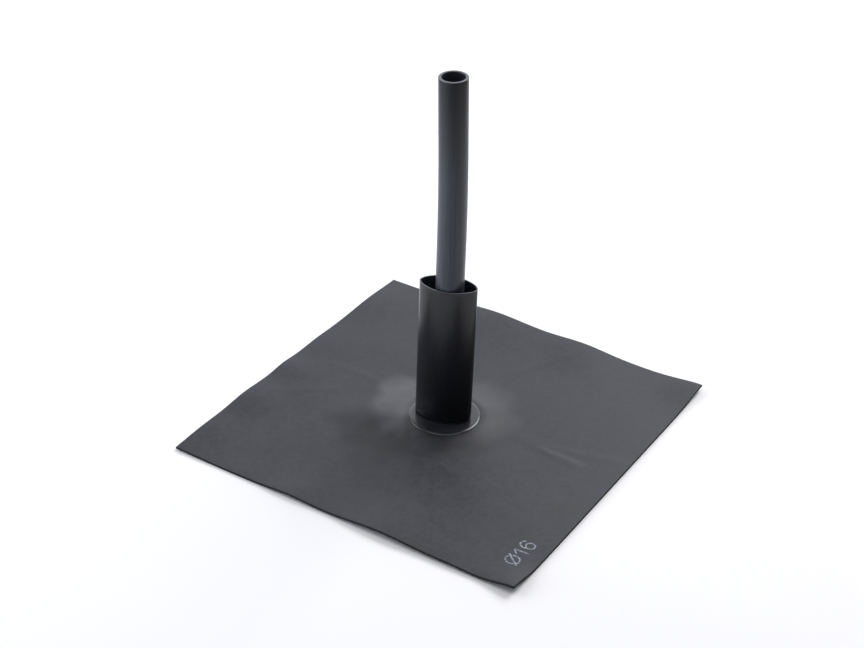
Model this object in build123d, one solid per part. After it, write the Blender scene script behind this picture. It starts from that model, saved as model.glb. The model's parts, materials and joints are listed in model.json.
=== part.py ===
from build123d import *
import os
from math import atan2, cos, degrees, exp, hypot, pi, radians, sin, tan

# Sealing sleeve for a 16 mm pipe: a rubber sheet with a collar disc, a tube that
# passes through both, and a loose lay-flat sleeve that stands round the tube's foot.
# Millimetres. +Z is up, the table is z = 0, and the origin lies under the middle of
# the sheet, whose edges run along X and Y.

# Membrane sheet
sheet_side = 275.0
sheet_thickness = 1.8
sheet_grid = 56

# Collar disc, which sits a little off the middle of the sheet
collar_x = 0.0
collar_y = -2.3
disc_diameter = 51.6
disc_thickness = 1.3
disc_rim_chamfer = 0.9
glue_line = 0.1

# Cone in the sheet, pushed up from below round the tube
mound_rise = 3.0
mound_foot_diameter = 112.0
mound_ledge = 1.5
mound_squareness = 0.035
mound_turn = radians(20)
mound_softness = 0.6

# Inner tube, straight at both ends and bent a little at its knee. The bend reaches along
# this share of the shorter straight.
tube_bore = 16.0
tube_wall = 2.0
tube_height = 270.8
tube_knee_height = 180.0
tube_bow = 2.0
tube_bow_direction = radians(32)
tube_bend_reach = 0.45
tube_clearance = 0.1
tube_inner_chamfer = 0.5
tube_outer_chamfer = 0.3

# Outer sleeve, a lay-flat tube opened to an oval, with a crease at each side. Each wall
# of the oval is a flat arc between two tight ones.
sleeve_length = 108.8
sleeve_wall = 0.9
sleeve_width = 41.7
sleeve_depth = 23.5
sleeve_turn = radians(15.3)
sleeve_foot_centre = Vector(-0.9, -0.9)
sleeve_lean = Vector(1.0, 1.4)
crease_angle = radians(80)
flat_arc_angle = radians(40)

# Waves that lift the sheet's edges off the table. Each is the point of the edge where
# the wave is highest, as shares of half the side, then its height and how far it
# reaches along X and along Y.
edge_waves = [
    ((-0.28, 1.00), 3.9, 27.0, 24.0),
    ((0.27, 1.00), 3.2, 19.0, 22.0),
    ((1.00, 1.00), 3.3, 17.0, 17.0),
    ((-1.00, -0.15), 1.3, 16.0, 75.0),
    ((-1.00, -0.80), 1.2, 15.0, 18.0),
    ((-1.00, -0.44), 1.9, 16.0, 13.0),
    ((-1.00, -0.09), 1.4, 14.0, 8.0),
    ((-1.00, 0.22), 0.6, 14.0, 10.0),
    ((-1.00, 0.73), 1.4, 15.0, 16.0),
    ((-0.29, -1.00), 1.9, 15.0, 16.0),
    ((0.26, -1.00), 3.5, 24.0, 20.0),
    ((0.66, -1.00), 1.4, 15.0, 14.0),
    ((1.00, -1.00), 5.0, 13.0, 13.0),
]

half_side = sheet_side / 2
disc_radius = disc_diameter / 2
bore_radius = tube_bore / 2
tube_radius = bore_radius + tube_wall
mound_top_radius = disc_radius + mound_ledge
mound_foot_radius = mound_foot_diameter / 2
disc_base = mound_rise + sheet_thickness + glue_line
disc_top = disc_base + disc_thickness
collar = Location((collar_x, collar_y, 0))


def mound_height(x, y):
    """Height of the cone's underside: flat under the disc, then a slope with soft ends."""
    dx, dy = x - collar_x, y - collar_y
    angle = atan2(dy, dx) - mound_turn
    foot = mound_foot_radius * (1 + mound_squareness * cos(4 * angle))
    share = (foot - hypot(dx, dy)) / (foot - mound_top_radius)
    share = min(max(share, 0.0), 1.0)
    return mound_rise * (share - mound_softness * sin(2 * pi * share) / (2 * pi))


def wave_height(x, y):
    """Lift of the sheet's edges: a sum of smooth bumps, each highest at its point of the edge."""
    lift = 0.0
    for (u, v), height, reach_x, reach_y in edge_waves:
        along_x = (x - u * half_side) / reach_x
        along_y = (y - v * half_side) / reach_y
        lift += height * exp(-(along_x**2 + along_y**2) / 2)
    return lift


def underside(x, y):
    return Vector(x, y, mound_height(x, y) + wave_height(x, y))


def tube_path():
    """Centre line of the tube, from a little below the table up to its mouth."""
    bow = Vector(cos(tube_bow_direction), sin(tube_bow_direction)) * tube_bow
    knee = bow + Vector(0, 0, tube_knee_height)
    mouth = Vector(0, 0, tube_height)
    shorter_run = min(knee.length, (mouth - knee).length)
    turn = radians(knee.get_angle(mouth - knee))
    bend_radius = tube_bend_reach * shorter_run / tan(turn / 2)
    below = knee * (-tube_wall / tube_knee_height)
    return FilletPolyline(below, knee, mouth, radius=bend_radius)


def tube_rod(radius):
    """A solid rod of the given radius along the tube's centre line."""
    path = tube_path()
    section = Plane(origin=path @ 0, z_dir=path % 0) * Circle(radius)
    return sweep(section, path=path)


def make_membrane_sheet():
    """The rubber sheet: its wavy underside raised by its thickness, with a hole for the tube."""
    step = sheet_side / sheet_grid
    places = [-half_side + step * i for i in range(sheet_grid + 1)]
    rows = [[underside(x, y) for x in places] for y in places]
    face = Face.make_surface_from_array_of_points(rows, tol=0.02)
    sheet = Solid.extrude(face, Vector(0, 0, sheet_thickness))
    return sheet - collar * tube_rod(tube_radius + tube_clearance)


def make_collar_disc():
    """The collar disc, a washer with its upper rim bevelled."""
    disc = Cylinder(disc_radius, disc_thickness, align=(Align.CENTER, Align.CENTER, Align.MIN))
    rim = disc.edges().group_by(Axis.Z)[-1]
    disc = chamfer(rim, disc_rim_chamfer)
    return collar * (Pos(0, 0, disc_base) * disc - tube_rod(tube_radius + tube_clearance))


def make_inner_tube():
    """The tube: flat on the table below, cut square to its axis above, with its edges broken."""
    tube = tube_rod(tube_radius) - tube_rod(bore_radius)
    tube = split(tube, bisect_by=Plane.XY, keep=Keep.TOP)
    mouth = tube.faces().sort_by(Axis.Z)[-1]
    inner = mouth.edges().sort_by(SortBy.RADIUS)[0]
    tube = chamfer(inner, tube_inner_chamfer)
    mouth = tube.faces().filter_by(GeomType.PLANE).sort_by(Axis.Z)[-1]
    outer = mouth.edges().sort_by(SortBy.RADIUS)[-1]
    return collar * chamfer(outer, tube_outer_chamfer)


def sleeve_oval():
    """Outline of the opened sleeve: on each side a tight arc, a flat arc and a tight arc, crease to crease."""
    flat_x, flat_y = sin(flat_arc_angle), 1 - cos(flat_arc_angle)
    tight_x, tight_y = sin(crease_angle) - flat_x, cos(flat_arc_angle) - cos(crease_angle)
    scale = 2 * (flat_x * tight_y - tight_x * flat_y)
    flat_radius = (sleeve_width * tight_y - sleeve_depth * tight_x) / scale
    tight_radius = (sleeve_depth * flat_x - sleeve_width * flat_y) / scale
    tight_turn = degrees(crease_angle - flat_arc_angle)
    flat_turn = 2 * degrees(flat_arc_angle)
    crease = Vector(-sleeve_width / 2, 0)
    rise = Vector(cos(crease_angle), sin(crease_angle))
    first = JernArc(crease, rise, tight_radius, -tight_turn)
    middle = JernArc(first @ 1, first % 1, flat_radius, -flat_turn)
    last = JernArc(middle @ 1, middle % 1, tight_radius, -tight_turn)
    wall = Curve() + [first, middle, last]
    return make_face(wall + Rot(0, 0, 180) * wall)


def make_outer_sleeve():
    """The thin sleeve, standing on the disc and leaning a little, cut square at its mouth."""
    foot = sleeve_foot_centre + Vector(0, 0, disc_top)
    axis = (sleeve_lean + Vector(0, 0, sleeve_length)).normalized()
    across = Vector(cos(sleeve_turn), sin(sleeve_turn))
    oval = sleeve_oval()
    section = oval - offset(oval, -sleeve_wall)
    overrun = sleeve_width * sleeve_lean.length / sleeve_length
    start = Plane(origin=foot - axis * overrun, x_dir=across, z_dir=axis)
    sleeve = extrude(start * section, sleeve_length + overrun)
    return collar * split(sleeve, bisect_by=Plane.XY.offset(disc_top), keep=Keep.TOP)


os.makedirs("parts", exist_ok=True)
export_step(make_membrane_sheet(), "parts/membrane_sheet.step")
export_step(make_collar_disc(), "parts/collar_disc.step")
export_step(make_inner_tube(), "parts/inner_tube.step")
export_step(make_outer_sleeve(), "parts/outer_sleeve.step")
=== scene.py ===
# %% [markdown]
# A rubber sealing sleeve
#
# This part seals a pipe where it passes through a roof or a facade. A square of EPDM sheet is bonded to
# the building's own membrane. A rubber tube stands up through a collar disc in the middle of it, and a
# thin, wide sleeve stands loose round the tube's foot. All of it is black rubber, so there is hardly any
# colour to look at. What tells the four pieces apart is how each was made, and so how it takes the light:
# the sheet was rolled, the disc was moulded, and the tube and the sleeve were pushed through a die.
#
# The sizes come from the CAD model, which is the fixed frame of this scene. Blender adds the finish.
# Lengths are in metres, and a value in millimetres is written as a number times MM.

# %% Load the frame
import json
from math import atan2, cos, exp, hypot, pi, radians, sin, sqrt
import bpy
from mathutils import Matrix, Vector, noise
from mathutils.bvhtree import BVHTree


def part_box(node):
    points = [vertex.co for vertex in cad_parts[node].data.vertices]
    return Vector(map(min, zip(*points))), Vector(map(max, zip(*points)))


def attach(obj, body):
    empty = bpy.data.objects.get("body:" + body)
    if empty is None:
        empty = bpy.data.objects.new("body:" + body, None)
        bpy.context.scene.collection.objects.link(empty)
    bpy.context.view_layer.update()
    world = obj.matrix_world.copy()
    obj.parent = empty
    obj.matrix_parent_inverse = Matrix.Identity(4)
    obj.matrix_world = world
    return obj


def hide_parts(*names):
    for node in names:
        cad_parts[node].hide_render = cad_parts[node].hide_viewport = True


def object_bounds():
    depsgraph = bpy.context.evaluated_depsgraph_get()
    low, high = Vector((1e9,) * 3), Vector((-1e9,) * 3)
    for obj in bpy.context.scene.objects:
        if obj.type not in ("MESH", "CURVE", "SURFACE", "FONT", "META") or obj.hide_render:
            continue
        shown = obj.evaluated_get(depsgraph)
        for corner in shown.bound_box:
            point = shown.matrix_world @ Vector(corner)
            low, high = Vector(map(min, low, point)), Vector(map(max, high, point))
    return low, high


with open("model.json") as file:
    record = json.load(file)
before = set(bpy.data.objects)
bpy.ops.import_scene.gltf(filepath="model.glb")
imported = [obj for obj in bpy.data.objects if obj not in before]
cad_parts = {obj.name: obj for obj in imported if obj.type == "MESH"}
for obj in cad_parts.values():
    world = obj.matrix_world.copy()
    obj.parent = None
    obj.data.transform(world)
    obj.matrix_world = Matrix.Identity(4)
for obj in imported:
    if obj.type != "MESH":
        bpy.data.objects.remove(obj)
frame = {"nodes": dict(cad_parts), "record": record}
cad_low, cad_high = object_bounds()
MM = 0.001
print("CAD box in mm:", [round(side / MM, 1) for side in cad_high - cad_low])

# %% [markdown]
# The camera
#
# The camera comes first, because light and finish can only be judged from the right place. It looks down
# on the sheet's front corner from 1.3 metres away, with a short telephoto lens, and it is tilted a little
# to one side, as a hand-held camera often is. A camera could be aimed with a Track To constraint. Here
# its three axes are worked out instead, because the small tilt is easier to add that way.

# %% Camera
CAMERA_AZIMUTH = radians(32.04)
CAMERA_ELEVATION = radians(32.62)
CAMERA_ROLL = radians(1.21)
CAMERA_DISTANCE = 1300.4 * MM
AIM_ACROSS, AIM_UP = -11.73 * MM, 68.40 * MM
LENS, SENSOR_WIDTH = 75.04, 36

back = Vector((sin(CAMERA_AZIMUTH) * cos(CAMERA_ELEVATION),
               -cos(CAMERA_AZIMUTH) * cos(CAMERA_ELEVATION),
               sin(CAMERA_ELEVATION)))
across = Vector((0, 0, 1)).cross(back).normalized()
up = back.cross(across)
camera_x = cos(CAMERA_ROLL) * across + sin(CAMERA_ROLL) * up
camera_y = cos(CAMERA_ROLL) * up - sin(CAMERA_ROLL) * across
place = AIM_ACROSS * across + AIM_UP * up + CAMERA_DISTANCE * back

camera_data = bpy.data.cameras.new("camera")
camera_data.lens = LENS
camera_data.sensor_width = SENSOR_WIDTH
camera = bpy.data.objects.new("camera", camera_data)
bpy.context.scene.collection.objects.link(camera)
axes = Matrix((camera_x, camera_y, back)).transposed().to_4x4()
camera.matrix_world = Matrix.Translation(place) @ axes
bpy.context.scene.camera = camera
print("camera at", [round(v, 3) for v in place], "metres")

# %% [markdown]
# Helpers for materials
#
# Colours are written as hex values, as a paint or a screen gives them, and those are sRGB. Blender's
# shaders add up light, so they need linear values, and one function does the change. A second function
# adds a node to a material: its settings by name, and its inputs as either a value or the output that
# feeds them. A third makes an empty material. Nodes could be placed by hand in the editor, but in a
# script each of them is one line that can be read. A Mix node has several sets of sockets: 2 and 3 are
# its two plain values, 6 and 7 its two colours, and output 2 is the mixed colour.

# %% Colour and node helpers
def linear(hex_colour):
    """The linear colour, with alpha, of an sRGB hex value such as #25272b."""
    channels = [int(hex_colour[i:i + 2], 16) / 255 for i in (1, 3, 5)]
    return [c / 12.92 if c <= 0.04045 else ((c + 0.055) / 1.055) ** 2.4 for c in channels] + [1.0]


def add(tree, kind, inputs=None, **settings):
    """Adds a node to a tree. Inputs are values or output sockets, by the input's name or number."""
    node = tree.nodes.new(kind)
    for name, value in settings.items():
        setattr(node, name, value)
    for name, value in (inputs or {}).items():
        if isinstance(value, bpy.types.NodeSocket):
            tree.links.new(value, node.inputs[name])
        else:
            node.inputs[name].default_value = value
    return node


def new_material(name):
    """A material with an empty node tree and its output."""
    material = bpy.data.materials.new(name)
    material.use_nodes = True
    material.node_tree.nodes.clear()
    output = add(material.node_tree, "ShaderNodeOutputMaterial")
    return material, material.node_tree, output


print("#808080 in linear light:", [round(c, 3) for c in linear("#808080")[:3]])

# %% [markdown]
# The table
#
# The part stands on white paper. A plane that ran on to the horizon would be the simple way, but black
# rubber mirrors all of it. So the paper ends just outside the picture at the front and the sides, and the
# upper half of the tube has less white to mirror. Real paper is matte, so the shader is nearly as rough
# as can be.

# %% Table
TABLE_FRONT, TABLE_BACK, TABLE_SIDE = 0.45, 4.0, 0.54
TABLE_GAP = 0.02 * MM
PAPER_WHITE = linear("#f8f8f8")
PAPER_ROUGHNESS, PAPER_IOR = 0.9, 1.45

white_paper, paper_tree, paper_output = new_material("white_paper")
shader = add(paper_tree, "ShaderNodeBsdfPrincipled",
             {"Base Color": PAPER_WHITE, "Roughness": PAPER_ROUGHNESS, "IOR": PAPER_IOR})
paper_tree.links.new(shader.outputs["BSDF"], paper_output.inputs["Surface"])

level_back = Vector((back.x, back.y, 0)).normalized()
corners = [(-TABLE_SIDE, TABLE_FRONT), (TABLE_SIDE, TABLE_FRONT),
           (TABLE_SIDE, -TABLE_BACK), (-TABLE_SIDE, -TABLE_BACK)]
table_mesh = bpy.data.meshes.new("table")
table_mesh.from_pydata([across * side + level_back * front for side, front in corners], [], [(0, 1, 2, 3)])
table_mesh.materials.append(white_paper)
table = bpy.data.objects.new("table", table_mesh)
table.location.z = cad_low.z - TABLE_GAP
bpy.context.scene.collection.objects.link(table)
print("table", round(2 * TABLE_SIDE, 2), "by", round(TABLE_FRONT + TABLE_BACK, 2), "metres")

# %% [markdown]
# The light
#
# Black rubber shows mostly what it reflects. So the light is built from large pale surfaces, and not from
# lamps. The main one is a soft box high up behind the part, to the right. A pale wall stands behind, from
# the table up, for the flat disc to mirror, and a smaller wall stands at the left and fills that side. A
# long low box at the far left draws the bright edge of the tube, and a weak box hangs overhead. The rest
# of the room is a dim even grey. Each box is an area light that faces the part. A line below gives its
# name, its bearing and elevation in degrees, its distance, width and height in metres, its radiance and
# its colour.

# %% Soft lights
SOFT_BOXES = [
    ("key_box", 48, 42, 1.8, 1.1, 0.9, 7.3, "#fcfbff"),
    ("back_wall", -4, 21, 2.2, 3.2, 1.7, 1.6, "#f4f6fe"),
    ("overhead_box", 0, 89, 1.9, 1.5, 1.5, 1.3, "#fffdfc"),
    ("left_box", -100, 10, 1.3, 1.6, 0.45, 4.9, "#e8efff"),
    ("left_wall", -72, 34, 1.8, 1.2, 1.0, 2.9, "#f8f8fe"),
]
ROOM_COLOUR, ROOM_STRENGTH = linear("#f2f4f8"), 0.17


def soft_box(name, bearing, elevation, distance, width, height, radiance, colour):
    """An area light that faces the part. Its bearing is in degrees to the right of straight behind."""
    bearing, elevation = radians(bearing), radians(elevation)
    level = across * sin(bearing) - level_back * cos(bearing)
    toward = level * cos(elevation) + Vector((0, 0, sin(elevation)))
    data = bpy.data.lights.new(name, "AREA")
    data.shape = "RECTANGLE"
    data.size, data.size_y = width, height
    data.energy = radiance * pi * width * height
    data.color = linear(colour)[:3]
    lamp = bpy.data.objects.new(name, data)
    lamp.location = toward * distance
    lamp.rotation_euler = toward.to_track_quat("Z", "Y").to_euler()
    bpy.context.scene.collection.objects.link(lamp)
    print(name, "gives", round(data.energy, 1), "watts")


for box in SOFT_BOXES:
    soft_box(*box)

world = bpy.data.worlds.new("studio")
bpy.context.scene.world = world
world.use_nodes = True
room = world.node_tree.nodes["Background"]
room.inputs["Color"].default_value = ROOM_COLOUR
room.inputs["Strength"].default_value = ROOM_STRENGTH
bpy.context.scene.view_settings.view_transform = "Standard"

# %% [markdown]
# The membrane sheet
#
# The sheet is cut from a roll of EPDM rubber that was rolled to its thickness between polished cylinders.
# It is limp, so it follows whatever is under it: a low blunt cone round the tube, and waves along the cut
# edges.
#
# The CAD solid has the large forms but a coarse mesh. It would be possible to add a Subdivision modifier
# to it, but that rounds the corners. Instead a new mesh is laid over it, and the height of each of its
# points comes from a ray that is dropped on the CAD surface. A search tree of the triangles makes the
# rays fast.

# %% Measure the CAD sheet
def node_surface(name):
    """A search tree of a CAD node's triangles, for rays."""
    mesh = frame["nodes"][name].data
    return BVHTree.FromPolygons([v.co for v in mesh.vertices], [p.vertices for p in mesh.polygons])


sheet_surface = node_surface("membrane_sheet")
sheet_low, sheet_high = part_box("membrane_sheet")
disc_low, disc_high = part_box("collar_disc")
HALF_SIDE = (sheet_high.x - sheet_low.x) / 2
collar = Vector(((disc_low.x + disc_high.x) / 2, (disc_low.y + disc_high.y) / 2, 0))
DROP = 0.05
PROBE = HALF_SIDE * 0.6


def top_height(x, y):
    """Height of the CAD sheet's top at a place, by a ray from above."""
    return sheet_surface.ray_cast(Vector((x, y, DROP)), Vector((0, 0, -1)))[0].z


def under_height(x, y):
    """Height of the CAD sheet's underside at a place, by a ray from below."""
    return sheet_surface.ray_cast(Vector((x, y, -DROP)), Vector((0, 0, 1)))[0].z


SHEET_THICKNESS = top_height(PROBE, PROBE) - under_height(PROBE, PROBE)
print("sheet side", round(2 * HALF_SIDE / MM, 1), "mm, thickness", round(SHEET_THICKNESS / MM, 2), "mm")

# %% [markdown]
# A net of spokes and rings
#
# A plain grid would step across the round cone. So the points lie on spokes that run from the round hole
# to the square edge, and on rings that change from a circle to a square on the way. The rings are evenly
# spaced over the sheet and close together at the edge, where the cut is rounded. EDGE_STEPS says how far
# in from the edge those lie at the middle of a side, in millimetres. An even ring within half a step of
# them is left out.

# %% Spokes and rings
SPOKES_A_SIDE = 88
HOLE_RADIUS = 10.2 * MM
EDGE_ROUND = 0.4 * MM
RING_STEP = 1.5 * MM
EDGE_STEPS = [0.0, 0.06, 0.15, 0.28, 0.42, 0.7, 1.2, 2.0, 3.2]
CLEAR_STEPS = 0.5


def outline_points():
    """Points along the four sides of the sheet, in turn, with one at each corner."""
    points = []
    corners = [(-1, -1), (1, -1), (1, 1), (-1, 1)]
    for (ax, ay), (bx, by) in zip(corners, corners[1:] + corners[:1]):
        for i in range(SPOKES_A_SIDE):
            share = i / SPOKES_A_SIDE
            points.append(Vector((ax + (bx - ax) * share, ay + (by - ay) * share, 0)) * HALF_SIDE)
    return points


def ring_shares():
    """How far out each ring is, from 0 at the hole to 1 at the edge, where the rings are close."""
    length = HALF_SIDE - HOLE_RADIUS
    steps = int(length / RING_STEP)
    even = [i / steps for i in range(steps + 1)]
    close = [1 - step * MM / length for step in EDGE_STEPS]
    return sorted([s for s in even if s < close[-1] - CLEAR_STEPS / steps] + close)


outline = outline_points()
shares = ring_shares()
SPOKES = len(outline)


def plan_point(ring, spoke):
    """Where a point of the net lies, seen from above."""
    arm = outline[spoke] - collar
    distance = HOLE_RADIUS + (arm.length - HOLE_RADIUS) * shares[ring]
    return collar + arm.normalized() * distance


net = [[plan_point(ring, spoke) for spoke in range(SPOKES)] for ring in range(len(shares))]
print(len(shares), "rings of", SPOKES, "points")

# %% [markdown]
# The heights
#
# The CAD mesh has flat facets, and a single ray at each point would copy their ridges, which show on a
# dull surface. The points could be smoothed afterwards, but on this net that leaves faint lines toward
# the corners. Instead each height is the mean of nineteen rays: one at the point and two rings of rays
# round it.

# %% Drop the net on the CAD surface
BLUR_RINGS = ((2.2, 6), (4.4, 12))
INSIDE = HALF_SIDE - 0.02 * MM

around_point = [(0.0, 0.0)]
around_point += [(radius * MM * cos(2 * pi * i / count), radius * MM * sin(2 * pi * i / count))
                 for radius, count in BLUR_RINGS for i in range(count)]


def within(value):
    """A coordinate that is moved onto the sheet if it lies beyond it."""
    return max(-INSIDE, min(INSIDE, value))


def soft_height(x, y):
    """Mean height of the CAD surface round a point. Rays that miss it, in the hole, don't count."""
    starts = [Vector((within(x + dx), within(y + dy), DROP)) for dx, dy in around_point]
    hits = [sheet_surface.ray_cast(start, Vector((0, 0, -1)))[0] for start in starts]
    found = [hit.z for hit in hits if hit]
    return sum(found) / len(found)


heights = [[soft_height(p.x, p.y) for p in row] for row in net]
print("highest point of the sheet:", round(max(map(max, heights)) / MM, 2), "mm")

# %% [markdown]
# The folds
#
# The sheet was folded for its bag, and the folds have left long low ridges, about a fifth of a millimetre
# high. A bump map could draw them, but then they would be missing from the mesh. Here each fold is a line
# in plan, and a point near it is lifted by a bell curve that fades out at both ends of the line. A fold
# is given by its two ends, in shares of half the sheet's side, then its height and its width in
# millimetres.

# %% Fold lines
FOLDS = [
    ((-0.84, 0.075), (-0.44, 0.08), 0.16, 3.0),
    ((0.36, 0.05), (0.66, 0.075), 0.16, 4.5),
    ((0.64, 0.08), (0.98, 0.17), 0.22, 3.6),
    ((0.48, 0.03), (0.82, 0.012), 0.26, 3.4),
    ((0.06, 0.52), (0.30, 0.93), 0.14, 4.0),
    ((-0.94, -0.36), (-0.60, -0.08), 0.14, 4.0),
]
FOLD_HOLDS, FOLD_FADES = 0.35, 0.12


def fold_height(x, y):
    """Height of the fold lines at a point: each is a ridge that fades out at its ends."""
    total = 0.0
    for (u0, v0), (u1, v1), height, width in FOLDS:
        start = Vector((u0, v0)) * HALF_SIDE
        run = Vector((u1, v1)) * HALF_SIDE - start
        offset = Vector((x, y)) - start
        along = offset.dot(run) / run.length_squared
        beside = (offset - run * along).length / (width * MM)
        ends = max(0.0, abs(along - 0.5) - FOLD_HOLDS) / FOLD_FADES
        total += height * MM * exp(-beside**2 - ends**2)
    return total


middle_fold = [(first + last) / 2 * HALF_SIDE for first, last in zip(*FOLDS[1][:2])]
print("a fold is", round(fold_height(*middle_fold) / MM, 2), "mm high halfway along")

# %% [markdown]
# Swells, unevenness and the rounded edge
#
# Rubber that was pulled up to a cone isn't a neat cone: there is a lip round the disc, and hollows and
# bulges beside it. The roll leaves a gentle unevenness as well, which smooth noise gives in two sizes.
# And the cut edge isn't sharp: a knife drags rubber over a little, so both rims of the edge are rounded.
# A swell is given by its angle round the collar in degrees, then its distance from the collar, its
# height, and how far it reaches outward and round the collar, in millimetres.

# %% Swells, unevenness and rounded edge
MOUND_SWELLS = [
    (338, 42.0, -0.9, 10.0, 60.0),
    (172, 44.0, 0.8, 10.0, 22.0),
    (232, 37.0, 0.5, 7.0, 13.0),
    (209, 57.0, 1.3, 19.0, 15.0),
    (262, 47.0, 0.5, 13.0, 30.0),
]
LIP_DISTANCE, LIP_HEIGHT, LIP_REACH = 28.0, 0.8, 5.5
SWELL_SIZE, SWELL_HEIGHT = 26.0 * MM, 0.10 * MM
RIPPLE_SIZE, RIPPLE_HEIGHT = 7.0 * MM, 0.015 * MM


def mound_swell(x, y):
    """The swells of the cone: a lip round the disc, then hollows and bulges beside it."""
    arm = Vector((x, y, 0)) - collar
    total = LIP_HEIGHT * MM * exp(-(((arm.length / MM - LIP_DISTANCE) / LIP_REACH) ** 2))
    for angle, distance, height, reach_out, reach_round in MOUND_SWELLS:
        turn = (atan2(arm.y, arm.x) - radians(angle) + pi) % (2 * pi) - pi
        outward = (arm.length / MM - distance) / reach_out
        sideways = turn * distance / reach_round
        total += height * MM * exp(-outward**2 - sideways**2)
    return total


def unevenness(x, y):
    """The roll's gentle unevenness, in two sizes."""
    swell = noise.noise(Vector((x, y, 0)) / SWELL_SIZE) * SWELL_HEIGHT
    ripple = noise.noise(Vector((x, y, SWELL_SIZE)) / RIPPLE_SIZE) * RIPPLE_HEIGHT
    return swell + ripple


def edge_drop(x, y):
    """How far the rounded rim lies below the flat of the sheet."""
    inset = min(HALF_SIDE - abs(x), HALF_SIDE - abs(y))
    if inset >= EDGE_ROUND:
        return 0.0
    return EDGE_ROUND - sqrt(max(0.0, EDGE_ROUND**2 - (EDGE_ROUND - inset) ** 2))


swells = [mound_swell(p.x, p.y) / MM for ring in net for p in ring]
print("swells from", round(min(swells), 2), "to", round(max(swells), 2), "mm")

# %% [markdown]
# A closed skin over rings
#
# All the pieces here can be made in one way: rings of points, one after the other, with a face between
# each pair of neighbours. The sheet's rings run out over its top and back along its underside, so the
# last joins the first and the skin is closed. Blender's own Screw and Curve tools do this for round
# shapes. A short function does it for any ring, and its points stay where the frame puts them.

# %% Skin
def skin(name, rings, material, capped=False):
    """A smooth closed skin over rings. The last ring joins the first, or else both ends are capped."""
    count, size = len(rings), len(rings[0])
    faces = []
    for k in range(count - 1 if capped else count):
        first, second = k * size, (k + 1) % count * size
        faces += [(first + s, first + (s + 1) % size, second + (s + 1) % size, second + s)
                  for s in range(size)]
    if capped:
        faces += [tuple(reversed(range(size))), tuple(range((count - 1) * size, count * size))]
    mesh = bpy.data.meshes.new(name)
    mesh.from_pydata([tuple(p) for ring in rings for p in ring], [], faces)
    for polygon in mesh.polygons:
        polygon.use_smooth = True
    mesh.materials.append(material)
    piece = bpy.data.objects.new(name, mesh)
    bpy.context.scene.collection.objects.link(piece)
    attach(piece, "root")
    print(name, "has", len(faces), "faces")
    return piece


print("the sheet's rings call for", 2 * len(net) * SPOKES, "faces")

# %% Sheet
def sheet_rings():
    """Rings of points on the top from the hole out to the edge, then on the underside back to the hole."""
    top, under = [], []
    for ring, row in zip(net, heights):
        bases = [z + mound_swell(p.x, p.y) for p, z in zip(ring, row)]
        drops = [edge_drop(p.x, p.y) for p in ring]
        top.append([Vector((p.x, p.y, z + fold_height(p.x, p.y) + unevenness(p.x, p.y) - drop))
                    for p, z, drop in zip(ring, bases, drops)])
        under.append([Vector((p.x, p.y, max(z - SHEET_THICKNESS, cad_low.z) + drop))
                      for p, z, drop in zip(ring, bases, drops)])
    return top + under[::-1]


calendered_epdm, sheet_tree, sheet_output = new_material("calendered_epdm")
membrane = skin("membrane", sheet_rings(), calendered_epdm)
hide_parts("membrane_sheet")

# %% [markdown]
# Painted light and painted shade on the sheet
#
# The slopes of the cone that face the lamps are painted paler, as painted light, and the crest of one fold
# is painted paler too, as a painted highlight. In front of the cone the rubber is painted darker, as
# painted shade. An image could hold such places, but it would need an unwrapped mesh. Instead each point
# of the mesh stores a value from 0 to 1 under a name, and the material reads it by that name. A place is a
# rounded rectangle: its centre in millimetres, its turn in degrees, half its length and half its width in
# millimetres, and its strength. One noise lets its border wander, and a finer one streaks it.

# %% Painted light and shade on the sheet
# Places painted paler, as painted light on the cone's lit slopes. The last is a painted highlight on a
# fold's crest.
LIT_PLACES = [
    ((-41.0, -1.0), -66, 38.0, 21.0, 0.85),
    ((-29.0, -29.0), -50, 26.0, 13.0, 0.6),
    ((14.0, 38.0), -20, 26.0, 20.0, 0.34),
    ((38.0, 8.0), 70, 26.0, 14.0, 0.22),
    ((89.5, 6.0), -1, 25.0, 2.8, 0.32),
]
# Places painted darker, as painted shade in front of the cone.
SHADED_PLACES = [
    ((-37.0, -47.0), -36, 48.0, 31.0, 1.0),
    ((21.0, -25.0), 42, 34.0, 20.0, 1.0),
]
LIT_PLACE_EDGE, SHADED_PLACE_EDGE = 0.5, 0.9
SQUARENESS = 3
WANDER, WANDER_SIZE = 0.24, 14 * MM
STREAKS, STREAK_SIZE = 0.2, 9 * MM


def patch_distance(point, centre, turn, half_length, half_width):
    """How far a point is from a patch's centre: 1 is on its border, which is a rounded rectangle."""
    offset = Vector((point.x / MM - centre[0], point.y / MM - centre[1]))
    along = Vector((cos(radians(turn)), sin(radians(turn))))
    beside = Vector((-sin(radians(turn)), cos(radians(turn))))
    length_share = abs(offset.dot(along)) / half_length
    width_share = abs(offset.dot(beside)) / half_width
    return (length_share**SQUARENESS + width_share**SQUARENESS) ** (1 / SQUARENESS)


def patch_share(point, patches, edge):
    """How strong the patches are at a point: full in the middle of each, with soft wandering borders."""
    strongest = 0.0
    for *form, strength in patches:
        distance = patch_distance(point, *form) + WANDER * noise.noise(point / WANDER_SIZE)
        inside = min(1.0, max(0.0, (1.0 - distance) / edge))
        strongest = max(strongest, strength * inside * inside * (3 - 2 * inside))
    return strongest * (1 + STREAKS * noise.noise(point / STREAK_SIZE))


def paint(piece, name, values):
    """Stores a value for each point of a piece under a name, for its material to read."""
    layer = piece.data.attributes.new(name, "FLOAT", "POINT")
    layer.data.foreach_set("value", values)
    print(piece.name, name, "is over a half at", sum(value > 0.5 for value in values), "points")


sheet_points = [vertex.co.copy() for vertex in membrane.data.vertices]
paint(membrane, "painted_light", [patch_share(point, LIT_PLACES, LIT_PLACE_EDGE) for point in sheet_points])
paint(membrane, "painted_shade", [patch_share(point, SHADED_PLACES, SHADED_PLACE_EDGE) for point in sheet_points])
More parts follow.
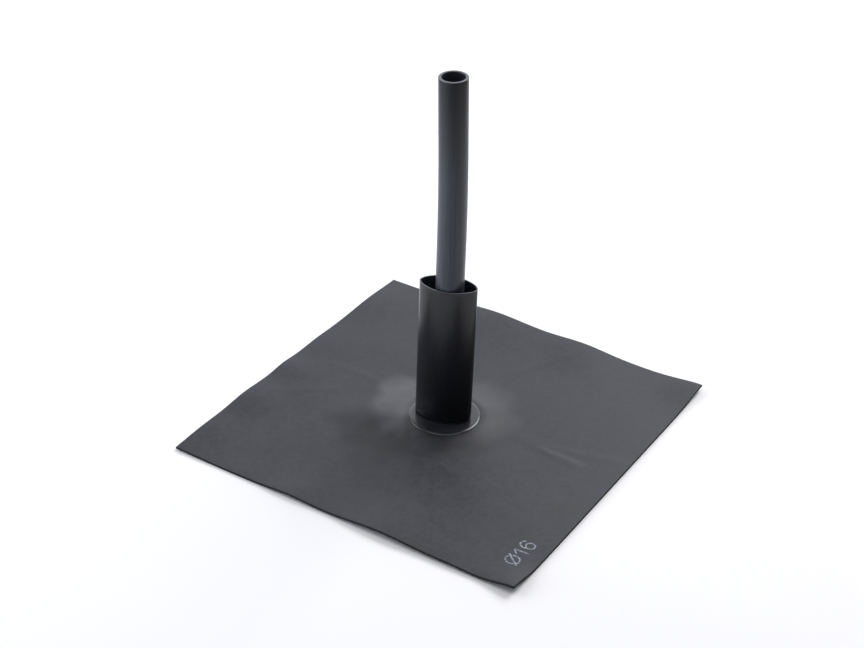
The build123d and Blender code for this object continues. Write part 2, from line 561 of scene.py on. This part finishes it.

# %% [markdown]
# The cut edge
#
# The edge was cut with a knife. Its faces are painted near black, as painted shade, and they are quite
# dull.
# It could be a second material on the faces of the edge, with a hard border between the two. A value at
# each point blends from one to the other over the rounded rim.

# %% Cut edge of the sheet
def edge_share(point):
    """How far a point is round the rim, from 0 on the flat of the sheet to 1 on the cut edge."""
    inset = min(HALF_SIDE - abs(point.x), HALF_SIDE - abs(point.y))
    return max(0.0, 1.0 - inset / EDGE_ROUND)


paint(membrane, "cut", [edge_share(point) for point in sheet_points])

# %% [markdown]
# Calendered EPDM
#
# EPDM for roofs is filled with carbon black, so its own colour is close to black. What makes it look dark
# grey is a dull surface: it scatters a wide, weak reflection of everything pale around it, and more so at
# a flat angle. The roll prints a fine grain on it, and a thin bloom of wax and dust shows as paler
# clouds. A photo texture would bring its own light with it, so the clouds, specks and grain are three
# noises in real sizes.

# %% Calendered EPDM
CLOUDS, SPECKS = 38.0 * MM, 4.0 * MM
# The roll's grain is about 0.2 mm, too fine to show here, so it is drawn coarser.
GRAIN = 1.1 * MM
GRAIN_DEPTH, GRAIN_STRENGTH = 0.12 * MM, 0.8
DARK_SHEET, PALE_SHEET = linear("#202227"), linear("#2f3137")
# Colours of the painted light on the cone, the painted shade in front of it, and the painted shade on the
# cut edge.
LIGHT_ON_SHEET, SHADE_ON_SHEET, CUT_EDGE_SHADE = linear("#4b4c50"), linear("#070914"), linear("#0e0e0d")
# The three noises add up to about 1.5, so the tone changes on both sides of that.
TONE_FROM, TONE_FULL = 1.3, 1.7
LEAST_DULL, MOST_DULL, CUT_DULLNESS = 0.51, 0.59, 0.95
RUBBER_IOR = 1.47

where = add(sheet_tree, "ShaderNodeTexCoord").outputs["Object"]
clouds = add(sheet_tree, "ShaderNodeTexNoise",
             {"Vector": where, "Scale": 1 / CLOUDS, "Detail": 5, "Roughness": 0.6})
grain = add(sheet_tree, "ShaderNodeTexNoise",
            {"Vector": where, "Scale": 1 / GRAIN, "Detail": 3, "Roughness": 0.55})
specks = add(sheet_tree, "ShaderNodeTexNoise", {"Vector": where, "Scale": 1 / SPECKS, "Detail": 3})
mottle = add(sheet_tree, "ShaderNodeMath", {0: clouds.outputs[0], 1: specks.outputs[0]}, operation="ADD")
mottle = add(sheet_tree, "ShaderNodeMath", {0: mottle.outputs[0], 1: grain.outputs[0]}, operation="ADD")
tone = add(sheet_tree, "ShaderNodeMapRange",
           {"Value": mottle.outputs[0], "From Min": TONE_FROM, "From Max": TONE_FULL})
colour = add(sheet_tree, "ShaderNodeMix", {"Factor": tone.outputs[0], 6: DARK_SHEET, 7: PALE_SHEET},
             data_type="RGBA")
# Painted light on the cone's lit slopes and on one fold's crest.
lit_share = add(sheet_tree, "ShaderNodeAttribute", attribute_name="painted_light").outputs["Fac"]
colour = add(sheet_tree, "ShaderNodeMix", {"Factor": lit_share, 6: colour.outputs[2], 7: LIGHT_ON_SHEET},
             data_type="RGBA")
# Painted shade in front of the cone.
painted_shade = add(sheet_tree, "ShaderNodeAttribute", attribute_name="painted_shade").outputs["Fac"]
colour = add(sheet_tree, "ShaderNodeMix", {"Factor": painted_shade, 6: colour.outputs[2], 7: SHADE_ON_SHEET},
             data_type="RGBA")
# The cut edge's faces get painted shade and a duller finish.
cut = add(sheet_tree, "ShaderNodeAttribute", attribute_name="cut").outputs["Fac"]
colour = add(sheet_tree, "ShaderNodeMix", {"Factor": cut, 6: colour.outputs[2], 7: CUT_EDGE_SHADE},
             data_type="RGBA")
dullness = add(sheet_tree, "ShaderNodeMapRange",
               {"Value": tone.outputs[0], "To Min": LEAST_DULL, "To Max": MOST_DULL})
dullness = add(sheet_tree, "ShaderNodeMix", {"Factor": cut, 2: dullness.outputs[0], 3: CUT_DULLNESS},
               data_type="FLOAT")
bump = add(sheet_tree, "ShaderNodeBump",
           {"Height": grain.outputs[0], "Distance": GRAIN_DEPTH, "Strength": GRAIN_STRENGTH})
shader = add(sheet_tree, "ShaderNodeBsdfPrincipled",
             {"Base Color": colour.outputs[2], "Roughness": dullness.outputs[0], "IOR": RUBBER_IOR,
              "Normal": bump.outputs[0]})
sheet_tree.links.new(shader.outputs["BSDF"], sheet_output.inputs["Surface"])
print("calendered EPDM is made of", len(sheet_tree.nodes), "nodes")

# %% [markdown]
# The size mark
#
# A rubber stamp has put the size on the front corner: a diameter sign and the bore of the tube in
# millimetres. Type could be set as a text object, but a worn stamp has no sharp corners, and print has to
# follow the waves of the sheet. So each stroke is a ribbon of ink that is laid along a line, at the
# height of the sheet under it. The strokes are arcs and straight lines, in millimetres from the corner of
# the mark.

# %% Strokes of the size mark
STROKE_STEP = 0.4
ARC_STEP, FEWEST_STEPS = 7, 8


def arc(centre, radii, start, end):
    """Points of an elliptical arc, with angles in degrees."""
    steps = max(FEWEST_STEPS, int(abs(end - start) / ARC_STEP))
    angles = [radians(start + (end - start) * i / steps) for i in range(steps + 1)]
    return [(centre[0] + radii[0] * cos(a), centre[1] + radii[1] * sin(a)) for a in angles]


def line(start, end):
    """Points of a straight stroke."""
    steps = int(hypot(end[0] - start[0], end[1] - start[1]) / STROKE_STEP)
    return [(start[0] + (end[0] - start[0]) * i / steps, start[1] + (end[1] - start[1]) * i / steps)
            for i in range(steps + 1)]


MARK = {
    "mark_ring": arc((7.3, 5.3), (4.4, 4.9), 0, 360)[:-1],
    "mark_slash": line((3.0, -0.1), (11.9, 10.4)),
    "mark_flag": line((14.2, 6.4), (17.4, 9.7)),
    "mark_stem": line((17.7, 9.9), (18.3, -0.7)),
    "mark_hook": arc((25.6, 5.4), (3.4, 4.4), 25, 200),
    "mark_bowl": arc((25.8, 2.5), (3.0, 3.2), 0, 360)[:-1],
}
CLOSED_STROKES = ("mark_ring", "mark_bowl")
print("the mark has", len(MARK), "strokes")

# %% Ribbons of ink
MARK_CORNER = (125.9, -117.7)
STROKE_WIDTH = 1.15
INK_ABOVE, INK_BELOW = 0.03 * MM, 0.06 * MM

dressed_sheet = BVHTree.FromPolygons([v.co for v in membrane.data.vertices],
                                     [p.vertices for p in membrane.data.polygons])


def mark_point(along, above):
    """A point of the print, which runs along +Y, with the tops of its letters toward -X."""
    return Vector((MARK_CORNER[0] - above, MARK_CORNER[1] + along, 0)) * MM


def ribbon(points, closed):
    """Four-cornered sections along a stroke, which follow the sheet."""
    rings, count = [], len(points)
    for i, point in enumerate(points):
        before = points[i - 1] if closed or i else point
        after = points[(i + 1) % count] if closed or i < count - 1 else point
        run = mark_point(*after) - mark_point(*before)
        side = Vector((run.y, -run.x, 0)).normalized() * (STROKE_WIDTH * MM / 2)
        ring = []
        for edge, lift in ((-1, -INK_BELOW), (-1, INK_ABOVE), (1, INK_ABOVE), (1, -INK_BELOW)):
            place = mark_point(*point) + edge * side
            ground = dressed_sheet.ray_cast(place + Vector((0, 0, DROP)), Vector((0, 0, -1)))[0]
            ring.append(ground + Vector((0, 0, lift)))
        rings.append(ring)
    return rings


stamped_ink, ink_tree, ink_output = new_material("stamped_ink")
for name, stroke in MARK.items():
    closed = name in CLOSED_STROKES
    ink = skin(name, ribbon(stroke, closed), stamped_ink, capped=not closed)

# %% [markdown]
# Stamped ink
#
# The ink is a thin pale grey film on dull rubber. It takes only on the high points of the grain, so it
# looks worn. Transparent gaps would be one way to show that. Here the colour changes between the ink's
# and the rubber's instead, which is enough at this size.

# %% Stamped ink
# The gaps in the ink are as fine as the sheet's grain, and are drawn coarser for the same reason.
WEAR = 1.3 * MM
WEAR_FROM, WEAR_FULL = 0.42, 0.62
WHOLE_INK, WORN_INK = linear("#989eaa"), linear("#55585e")
INK_ROUGHNESS = 0.6

where = add(ink_tree, "ShaderNodeTexCoord").outputs["Object"]
wear = add(ink_tree, "ShaderNodeTexNoise", {"Vector": where, "Scale": 1 / WEAR, "Detail": 3})
worn = add(ink_tree, "ShaderNodeMapRange",
           {"Value": wear.outputs[0], "From Min": WEAR_FROM, "From Max": WEAR_FULL})
colour = add(ink_tree, "ShaderNodeMix", {"Factor": worn.outputs[0], 6: WHOLE_INK, 7: WORN_INK},
             data_type="RGBA")
shader = add(ink_tree, "ShaderNodeBsdfPrincipled",
             {"Base Color": colour.outputs[2], "Roughness": INK_ROUGHNESS, "IOR": RUBBER_IOR})
ink_tree.links.new(shader.outputs["BSDF"], ink_output.inputs["Surface"])
print("stamped ink is made of", len(ink_tree.nodes), "nodes")

# %% [markdown]
# The collar disc
#
# The disc seals the tube to the sheet. It is a flat moulded washer with a round rim. A cylinder with a
# Bevel modifier would come close, but its rim slopes further in than it is high. A disc is a turned
# shape, so its mesh is a profile that is carried round an axis, with close points where the rim bends.

# %% Collar disc
TURNS = 192
DISC_SLOPE, DISC_ROUND = 2.6 * MM, 1.05 * MM
DISC_EASE = 0.12 * MM
FOOT_STEPS, RIM_STEPS, FACE_STEPS = 3, 16, 14

disc_radius = (disc_high.x - disc_low.x) / 2
slope_start = disc_radius - DISC_SLOPE
ease_start = disc_radius - DISC_EASE


def circle(centre, side, front, radius):
    """A ring of points round a centre, in the plane of two cross directions."""
    turns = [2 * pi * i / TURNS for i in range(TURNS)]
    return [centre + radius * (cos(a) * side + sin(a) * front) for a in turns]


def corner(radius, height, reach, rise, start, end, steps):
    """Points of a rounded corner of a profile: part of an ellipse, from one angle to another in degrees."""
    angles = [radians(start + (end - start) * i / steps) for i in range(steps + 1)]
    return [(radius + reach * cos(a), height + rise * sin(a)) for a in angles]


def spread(first, last, count):
    """Evenly spaced values from the first to the last."""
    return [first + (last - first) * i / (count - 1) for i in range(count)]


disc_profile = [(HOLE_RADIUS, disc_low.z)]
disc_profile += corner(ease_start, disc_low.z + DISC_EASE, DISC_EASE, DISC_EASE, -90, 0, FOOT_STEPS)
disc_profile += corner(slope_start, disc_high.z - DISC_ROUND, DISC_SLOPE, DISC_ROUND, 0, 90, RIM_STEPS)
disc_profile += [(radius, disc_high.z) for radius in spread(slope_start, HOLE_RADIUS, FACE_STEPS)[1:]]

moulded_epdm, disc_tree, disc_output = new_material("moulded_epdm")
disc_rings = [circle(collar + Vector((0, 0, z)), Vector((1, 0, 0)), Vector((0, 1, 0)), radius)
              for radius, z in disc_profile]
disc = skin("collar_ring", disc_rings, moulded_epdm)
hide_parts("collar_disc")

# %% [markdown]
# Moulded EPDM
#
# The disc came out of a polished mould, so it is the smoothest piece, and it mirrors the foot of the
# sleeve that stands on it. A mould's skin is even, so no grain is drawn. Only a faint haze of handling
# changes its gloss and its colour a little, in places of a few centimetres.

# %% Moulded EPDM
HAZE = 22 * MM
DARK_DISC, HAZY_DISC = linear("#1e1f24"), linear("#25262b")
LEAST_HAZE, MOST_HAZE = 0.18, 0.24
SMOOTH_RUBBER_IOR = 1.52

where = add(disc_tree, "ShaderNodeTexCoord").outputs["Object"]
haze = add(disc_tree, "ShaderNodeTexNoise",
           {"Vector": where, "Scale": 1 / HAZE, "Detail": 2, "Roughness": 0.5})
gloss = add(disc_tree, "ShaderNodeMapRange",
            {"Value": haze.outputs[0], "To Min": LEAST_HAZE, "To Max": MOST_HAZE})
colour = add(disc_tree, "ShaderNodeMix", {"Factor": haze.outputs[0], 6: DARK_DISC, 7: HAZY_DISC},
             data_type="RGBA")
shader = add(disc_tree, "ShaderNodeBsdfPrincipled",
             {"Base Color": colour.outputs[2], "Roughness": gloss.outputs[0], "IOR": SMOOTH_RUBBER_IOR})
disc_tree.links.new(shader.outputs["BSDF"], disc_output.inputs["Surface"])
print("moulded EPDM is made of", len(disc_tree.nodes), "nodes")

# %% [markdown]
# The inner tube
#
# The tube was extruded, coiled and cut, so it isn't quite straight: it leans out and comes back toward
# its mouth. Its centre line is read from the frame, because the record of the CAD model gives the tube's
# axis at both ends. Between the two straights the line is part of a parabola, pulled toward the point
# where the straights would meet, so it leaves each of them without a kink.

# %% Centre line of the tube
mounts = {mount["name"]: mount for mount in frame["record"]["mounts"]}
head, foot = mounts["tube_outside"], mounts["tube_bore_foot"]
head_point, head_axis = Vector(head["pos_m"]), Vector(head["axis"]).normalized()
foot_point, foot_axis = Vector(foot["pos_m"]), -Vector(foot["axis"]).normalized()
bore_radius = foot["dims"]["r_mm"] * MM
tube_radius = head["dims"]["r_mm"] * MM
tube_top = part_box("inner_tube")[1].z
mouth_height = tube_top - tube_radius * hypot(head_axis.x, head_axis.y)
bend_start = foot["dims"]["length_mm"] * MM
bend_end = mouth_height - head["dims"]["length_mm"] * MM


def on_line(point, axis, height):
    """The point of a line at a height."""
    return point + axis * ((height - point.z) / axis.z)


def tube_centre(height):
    """Centre of the tube at a height, and the tube's direction there."""
    if height <= bend_start:
        return on_line(foot_point, foot_axis, height), foot_axis
    if height >= bend_end:
        return on_line(head_point, head_axis, height), head_axis
    share = (height - bend_start) / (bend_end - bend_start)
    middle = (bend_start + bend_end) / 2
    low = on_line(foot_point, foot_axis, bend_start)
    knee = (on_line(foot_point, foot_axis, middle) + on_line(head_point, head_axis, middle)) / 2
    high = on_line(head_point, head_axis, bend_end)
    centre = (1 - share) ** 2 * low + 2 * share * (1 - share) * knee + share**2 * high
    return centre, foot_axis.lerp(head_axis, share).normalized()


print("the tube bends from", round(bend_start / MM, 1), "to", round(bend_end / MM, 1), "mm up")

# %% [markdown]
# The tube's skin
#
# A curve with a round bevel would give the tube, but not its bore with a flat foot and a rounded mouth.
# So the same skin is used again: rings go up the outside, over the rounded mouth and down the bore. Each
# ring stands square to the centre line, and the table cuts the lowest flat. The cut mouth gets a painted
# highlight and the bore is paler than the outside, so whole rings are marked for both.

# %% Inner tube
MOUTH_ROUND = 0.45 * MM
TUBE_STEPS, MOUTH_STEPS = 110, 5
CUT_MARGIN, BORE_MARGIN = 0.1 * MM, 0.01 * MM


def tube_ring(radius, height):
    """A ring round the tube's centre line, cut flat by the table at the foot."""
    centre, axis = tube_centre(height)
    side = (Vector((1, 0, 0)) - axis * axis.x).normalized()
    ring = circle(centre, side, axis.cross(side), radius)
    return [Vector((p.x, p.y, max(p.z, 0.0))) for p in ring]


def paint_rings(piece, name, chosen, size):
    """Paints a skin ring by ring: 1 on the chosen rings and 0 on the others."""
    paint(piece, name, [float(ring) for ring in chosen for _ in range(size)])


shoulder = mouth_height - MOUTH_ROUND
outer_lip, inner_lip = tube_radius - MOUTH_ROUND, bore_radius + MOUTH_ROUND
tube_profile = [(tube_radius, height) for height in spread(0.0, shoulder, TUBE_STEPS)]
tube_profile += corner(outer_lip, shoulder, MOUTH_ROUND, MOUTH_ROUND, 0, 90, MOUTH_STEPS)[1:]
tube_profile += corner(inner_lip, shoulder, MOUTH_ROUND, MOUTH_ROUND, 90, 180, MOUTH_STEPS)
tube_profile += [(bore_radius, height) for height in spread(shoulder, 0.0, TUBE_STEPS)[1:]]

extruded_epdm, tube_tree, tube_output = new_material("extruded_epdm")
tube = skin("tube", [tube_ring(radius, height) for radius, height in tube_profile], extruded_epdm)
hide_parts("inner_tube")
at_mouth = [height > shoulder + CUT_MARGIN for _, height in tube_profile]
in_bore = [radius < bore_radius + BORE_MARGIN for radius, _ in tube_profile]
paint_rings(tube, "cut", at_mouth, TURNS)
paint_rings(tube, "inside", in_bore, TURNS)

# %% [markdown]
# Extruded EPDM
#
# Rubber that is pushed through a die keeps fine lines along its length. The tube is the palest piece,
# because talc from its coil still lies on it. Toward the top it is painted nearly black, as painted shade.
# The cut mouth is painted paler, as a painted highlight, and the bore is paler. On brushed metal such
# lines would stretch the reflections, for which the shader has an anisotropic setting. On rubber they
# only change the tone, so a noise is stretched fifty times along the tube.

# %% Extruded EPDM
# Lines from a die are about 0.2 mm apart, too fine to show here, so they are drawn coarser.
DIE_LINES, DIE_STRETCH = 1.2 * MM, 0.02
DARK_TUBE, PALE_TUBE = linear("#363a42"), linear("#424750")
TOP_SHADE, PALE_INSIDE, END_HIGHLIGHT = linear("#1b1c1f"), linear("#3e4047"), linear("#5c5e63")
LINES_FROM, LINES_FULL = 0.3, 0.7
# The top of the tube is painted darker between these heights, as painted shade.
TOP_SHADE_FROM, TOP_SHADE_FULL = 195 * MM, 265 * MM
TUBE_ROUGHNESS = 0.38

where = add(tube_tree, "ShaderNodeTexCoord").outputs["Object"]
drawn_out = add(tube_tree, "ShaderNodeMapping", {"Vector": where, "Scale": (1, 1, DIE_STRETCH)})
lines = add(tube_tree, "ShaderNodeTexNoise",
            {"Vector": drawn_out.outputs[0], "Scale": 1 / DIE_LINES, "Detail": 4})
tone = add(tube_tree, "ShaderNodeMapRange",
           {"Value": lines.outputs[0], "From Min": LINES_FROM, "From Max": LINES_FULL})
colour = add(tube_tree, "ShaderNodeMix", {"Factor": tone.outputs[0], 6: DARK_TUBE, 7: PALE_TUBE},
             data_type="RGBA")
height = add(tube_tree, "ShaderNodeSeparateXYZ", {"Vector": where}).outputs["Z"]
# Painted shade toward the top of the tube.
top_shade = add(tube_tree, "ShaderNodeMapRange",
              {"Value": height, "From Min": TOP_SHADE_FROM, "From Max": TOP_SHADE_FULL})
colour = add(tube_tree, "ShaderNodeMix",
             {"Factor": top_shade.outputs[0], 6: colour.outputs[2], 7: TOP_SHADE}, data_type="RGBA")
# The bore is paler than the outside.
inside = add(tube_tree, "ShaderNodeAttribute", attribute_name="inside").outputs["Fac"]
colour = add(tube_tree, "ShaderNodeMix", {"Factor": inside, 6: colour.outputs[2], 7: PALE_INSIDE},
             data_type="RGBA")
# Painted highlight on the cut mouth.
cut = add(tube_tree, "ShaderNodeAttribute", attribute_name="cut").outputs["Fac"]
colour = add(tube_tree, "ShaderNodeMix", {"Factor": cut, 6: colour.outputs[2], 7: END_HIGHLIGHT},
             data_type="RGBA")
shader = add(tube_tree, "ShaderNodeBsdfPrincipled",
             {"Base Color": colour.outputs[2], "Roughness": TUBE_ROUGHNESS, "IOR": RUBBER_IOR})
tube_tree.links.new(shader.outputs["BSDF"], tube_output.inputs["Surface"])
print("extruded EPDM is made of", len(tube_tree.nodes), "nodes")

# %% [markdown]
# The outer sleeve
#
# The sleeve is a thin tube that was pressed flat and wound on a reel. Opened again, it isn't round: it
# stays wide and shallow, with a soft crease at each side where it was folded. A squashed circle would
# lack the creases. So its section is built as the CAD solid's is, from a flat arc and two tight ones on
# each side.

# %% Section of the sleeve
SLEEVE_WIDTH, SLEEVE_DEPTH = 41.7 * MM, 23.5 * MM
CREASE_ANGLE, FLAT_ANGLE = radians(80), radians(40)
FLAT_STEPS, TIGHT_STEPS = 60, 14


def arc_radii():
    """Radii of the flat arc and the tight arc that give the sleeve its width and its depth."""
    flat_x, flat_y = sin(FLAT_ANGLE), 1 - cos(FLAT_ANGLE)
    tight_x, tight_y = sin(CREASE_ANGLE) - flat_x, cos(FLAT_ANGLE) - cos(CREASE_ANGLE)
    scale = 2 * (flat_x * tight_y - tight_x * flat_y)
    flat = (SLEEVE_WIDTH * tight_y - SLEEVE_DEPTH * tight_x) / scale
    tight = (SLEEVE_DEPTH * flat_x - SLEEVE_WIDTH * flat_y) / scale
    return flat, tight


flat_radius, tight_radius = arc_radii()
flat_angles = spread(-FLAT_ANGLE, FLAT_ANGLE, FLAT_STEPS + 1)
tight_angles = spread(FLAT_ANGLE, CREASE_ANGLE, TIGHT_STEPS + 1)[1:]
side_angles = [-a for a in reversed(tight_angles)] + flat_angles + tight_angles


def side_point(angle, inset):
    """Point of one side of the section whose normal has this angle, moved inwards by the inset."""
    beyond = max(-1.0, min(1.0, angle / FLAT_ANGLE)) * FLAT_ANGLE
    bend = flat_radius - tight_radius
    x = bend * sin(beyond) + (tight_radius - inset) * sin(angle)
    y = SLEEVE_DEPTH / 2 - flat_radius + bend * cos(beyond) + (tight_radius - inset) * cos(angle)
    return x, y


def section(inset):
    """The whole section. Both sides meet at the creases, where the inset wall's point is on the mitre."""
    side = [side_point(angle, inset) for angle in side_angles[1:-1]]
    crease = SLEEVE_WIDTH / 2 - inset / sin(CREASE_ANGLE)
    return [(-crease, 0.0)] + side + [(crease, 0.0)] + [(-x, -y) for x, y in side]


print("flat arc", round(flat_radius / MM, 2), "mm, tight arc", round(tight_radius / MM, 2), "mm")

# %% [markdown]
# The sleeve's skin
#
# The section is carried up the outside, over a rounded rim and down the inside. A Solidify modifier could
# thicken a single wall, but would leave the rim square. The sleeve leans a little, and the disc that it
# stands on cuts its foot level.

# %% Outer sleeve
SLEEVE_LENGTH = 108.8 * MM
SLEEVE_WALL = 0.9 * MM
SLEEVE_TURN = radians(15.3)
SLEEVE_FOOT = Vector((-0.9, -0.9, 0)) * MM
SLEEVE_LEAN = Vector((1.0, 1.4, SLEEVE_LENGTH / MM)) * MM
SLEEVE_STEPS, LIP_STEPS = 64, 4
RIM_ROUND = 0.25 * MM
RIM_MARGIN, WALL_MARGIN = 0.05 * MM, 0.01 * MM

sleeve_axis = SLEEVE_LEAN.normalized()
wide = Vector((cos(SLEEVE_TURN), sin(SLEEVE_TURN), 0))
wide = (wide - sleeve_axis * wide.dot(sleeve_axis)).normalized()
deep = sleeve_axis.cross(wide)
sleeve_foot = collar + SLEEVE_FOOT + Vector((0, 0, disc_high.z))


def sleeve_ring(inset, height):
    """A ring of the sleeve at a height along its axis, cut flat by the disc at the foot."""
    centre = sleeve_foot + sleeve_axis * height
    ring = [centre + wide * x + deep * y for x, y in section(inset)]
    return [Vector((p.x, p.y, max(p.z, disc_high.z))) for p in ring]


shoulder = SLEEVE_LENGTH - RIM_ROUND
outer_rim = corner(-RIM_ROUND, shoulder, RIM_ROUND, RIM_ROUND, 0, 90, LIP_STEPS)
inner_rim = corner(RIM_ROUND - SLEEVE_WALL, shoulder, RIM_ROUND, RIM_ROUND, 90, 180, LIP_STEPS)
sleeve_profile = [(0.0, height) for height in spread(0.0, shoulder, SLEEVE_STEPS)]
sleeve_profile += [(-radius, height) for radius, height in outer_rim[1:] + inner_rim]
sleeve_profile += [(SLEEVE_WALL, height) for height in spread(shoulder, 0.0, SLEEVE_STEPS)[1:]]

lay_flat_epdm, sleeve_tree, sleeve_output = new_material("lay_flat_epdm")
sleeve = skin("sleeve", [sleeve_ring(inset, height) for inset, height in sleeve_profile], lay_flat_epdm)
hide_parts("outer_sleeve")
section_size = len(section(0.0))
at_rim = [height > shoulder + RIM_MARGIN for _, height in sleeve_profile]
on_inside = [inset > SLEEVE_WALL - WALL_MARGIN for inset, _ in sleeve_profile]
paint_rings(sleeve, "cut", at_rim, section_size)
paint_rings(sleeve, "inside", on_inside, section_size)

# %% [markdown]
# Lay-flat EPDM
#
# The sleeve was extruded too, but rollers pressed it flat while it was warm, so it has a satin gloss,
# duller than the disc and shinier than the tube. It is painted blackest at its foot, as painted shade, and
# paler toward its rim, as painted light. The die lines show in the gloss and not in the colour, so here
# the stretched noise drives the roughness.

# %% Lay-flat EPDM
# The sleeve's die lines are drawn coarser than they are too, and more so, because gloss blurs them.
SATIN_LINES, SATIN_STRETCH = 2.5 * MM, 0.03
# Painted shade at the foot that gives way to painted light toward the rim.
SHADED_FOOT, LIT_RIM = linear("#0d0e11"), linear("#1b1c22")
RIM_LIGHT_FROM, RIM_LIGHT_FULL = 20 * MM, 115 * MM
MOST_SATIN, LEAST_SATIN = 0.24, 0.29

where = add(sleeve_tree, "ShaderNodeTexCoord").outputs["Object"]
drawn_out = add(sleeve_tree, "ShaderNodeMapping", {"Vector": where, "Scale": (1, 1, SATIN_STRETCH)})
lines = add(sleeve_tree, "ShaderNodeTexNoise",
            {"Vector": drawn_out.outputs[0], "Scale": 1 / SATIN_LINES, "Detail": 3})
gloss = add(sleeve_tree, "ShaderNodeMapRange",
            {"Value": lines.outputs[0], "To Min": MOST_SATIN, "To Max": LEAST_SATIN})
height = add(sleeve_tree, "ShaderNodeSeparateXYZ", {"Vector": where}).outputs["Z"]
# Painted shade at the foot, painted light toward the rim.
rim_light = add(sleeve_tree, "ShaderNodeMapRange",
            {"Value": height, "From Min": RIM_LIGHT_FROM, "From Max": RIM_LIGHT_FULL})
colour = add(sleeve_tree, "ShaderNodeMix", {"Factor": rim_light.outputs[0], 6: SHADED_FOOT, 7: LIT_RIM},
             data_type="RGBA")
# The sleeve's inside is paler too.
inside = add(sleeve_tree, "ShaderNodeAttribute", attribute_name="inside").outputs["Fac"]
colour = add(sleeve_tree, "ShaderNodeMix", {"Factor": inside, 6: colour.outputs[2], 7: PALE_INSIDE},
             data_type="RGBA")
# Painted highlight on the sleeve's rim.
cut = add(sleeve_tree, "ShaderNodeAttribute", attribute_name="cut").outputs["Fac"]
colour = add(sleeve_tree, "ShaderNodeMix", {"Factor": cut, 6: colour.outputs[2], 7: END_HIGHLIGHT},
             data_type="RGBA")
shader = add(sleeve_tree, "ShaderNodeBsdfPrincipled",
             {"Base Color": colour.outputs[2], "Roughness": gloss.outputs[0], "IOR": RUBBER_IOR})
sleeve_tree.links.new(shader.outputs["BSDF"], sleeve_output.inputs["Surface"])
print("lay-flat EPDM is made of", len(sleeve_tree.nodes), "nodes")
